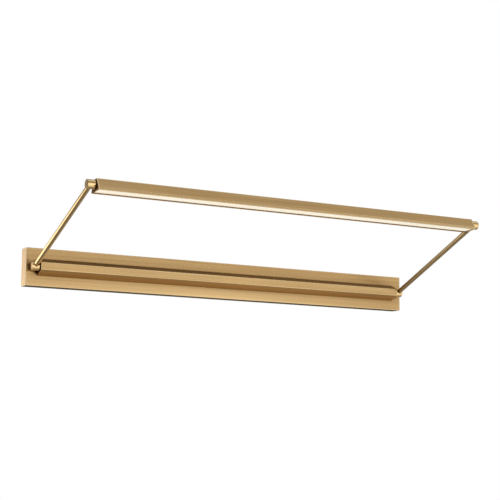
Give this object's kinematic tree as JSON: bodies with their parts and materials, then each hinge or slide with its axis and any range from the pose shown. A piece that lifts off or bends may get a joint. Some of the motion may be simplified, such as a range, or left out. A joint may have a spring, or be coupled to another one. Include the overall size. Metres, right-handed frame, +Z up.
{
  "type": "picture light",
  "caption": "Hard-wired wall picture light: long brushed brass wall box with a raised ridge, two tilting round arms and a tilting LED bar head with an opal diffuser.",
  "frame": {"origin": "middle of the junction-box screw pattern, on the wall face at the back of the wall box", "axes": "+X along the wall to the viewer's right, +Y into the wall, +Z up"},
  "size_m": [1.067, 0.3992, 0.199],
  "materials": {
    "brushed_brass": "aged brass, brushed lengthways, lacquered",
    "polished_brass": "aged brass, fine turned and buffed",
    "machined_brass": "plain machined",
    "brass_screw": "aged to match the cover",
    "galvanised_steel": "galvanised",
    "zinc_steel": "zinc plated",
    "green_screw": "green passivated",
    "anodised_aluminium": "natural anodised extrusion",
    "opal_acrylic": "satin opal",
    "white_board": "white solder mask",
    "led_phosphor": "phosphor gel",
    "driver_case": "fine moulded texture",
    "white_polyamide": "moulded",
    "black_nylon": "moulded",
    "friction_nylon": "dark nylon",
    "lead_insulation": "smooth silicone sheath"
  },
  "bodies": {
    "wall_base": {"mounting_plate": "galvanised_steel", "wire_bushing": "black_nylon", "ground_screw": "green_screw", "terminal_block": "white_polyamide", "terminal_screws": "zinc_steel", "led_driver": "driver_case", "driver_screws": "zinc_steel", "input_leads": "lead_insulation", "driver_lead": "lead_insulation", "wall_cover": "brushed_brass", "cover_screws": "brass_screw", "ridge_cover": "brushed_brass", "ridge_end_block_left": "brushed_brass", "ridge_end_block_right": "brushed_brass", "ridge_inner_blocks": "machined_brass", "ridge_screws": "zinc_steel", "lower_pivot_pin_left": "machined_brass", "lower_pivot_pin_right": "machined_brass", "lower_friction_washers": "friction_nylon", "lower_spring_washers": "zinc_steel", "lower_pivot_nuts": "machined_brass", "lower_stop_pins": "zinc_steel"},
    "left_arm": {"left_rod": "polished_brass", "left_lower_hub": "polished_brass", "left_lower_hub_cap": "polished_brass", "left_upper_hub": "polished_brass", "left_upper_hub_cap": "polished_brass", "arm_lead": "lead_insulation"},
    "right_arm": {"right_rod": "polished_brass", "right_lower_hub": "polished_brass", "right_lower_hub_cap": "polished_brass", "right_upper_hub": "polished_brass", "right_upper_hub_cap": "polished_brass"},
    "light_head": {"head_housing": "brushed_brass", "head_end_plate_left": "brushed_brass", "head_end_plate_right": "brushed_brass", "head_end_block_left": "machined_brass", "head_end_block_right": "machined_brass", "led_rail": "anodised_aluminium", "rail_screws": "zinc_steel", "led_board": "white_board", "led_chips": "led_phosphor", "board_connector": "white_polyamide", "head_lead": "lead_insulation", "diffuser": "opal_acrylic", "upper_pivot_pin_left": "machined_brass", "upper_pivot_pin_right": "machined_brass", "upper_friction_washers": "friction_nylon", "upper_spring_washers": "zinc_steel", "upper_pivot_nuts": "machined_brass", "upper_stop_pins": "zinc_steel"}
  },
  "joints": [
    {"name": "arm_tilt", "type": "hinge", "parent": "wall_base", "child": "left_arm", "pos_m": [-0.5166, -0.046, 0], "axis": [-1, 0, 0], "range_deg": [-68, 65]},
    {"name": "right_arm_tilt", "type": "hinge", "parent": "wall_base", "child": "right_arm", "pos_m": [0.5166, -0.046, 0], "axis": [-1, 0, 0], "range_deg": [-68, 65]},
    {"name": "head_tilt", "type": "hinge", "parent": "left_arm", "child": "light_head", "pos_m": [0, -0.37775, 0.14082], "axis": [1, 0, 0], "range_deg": [-75, 105]}
  ],
  "couplings": [
    {"joint": "right_arm_tilt", "follows": "arm_tilt", "ratio": 1}
  ]
}
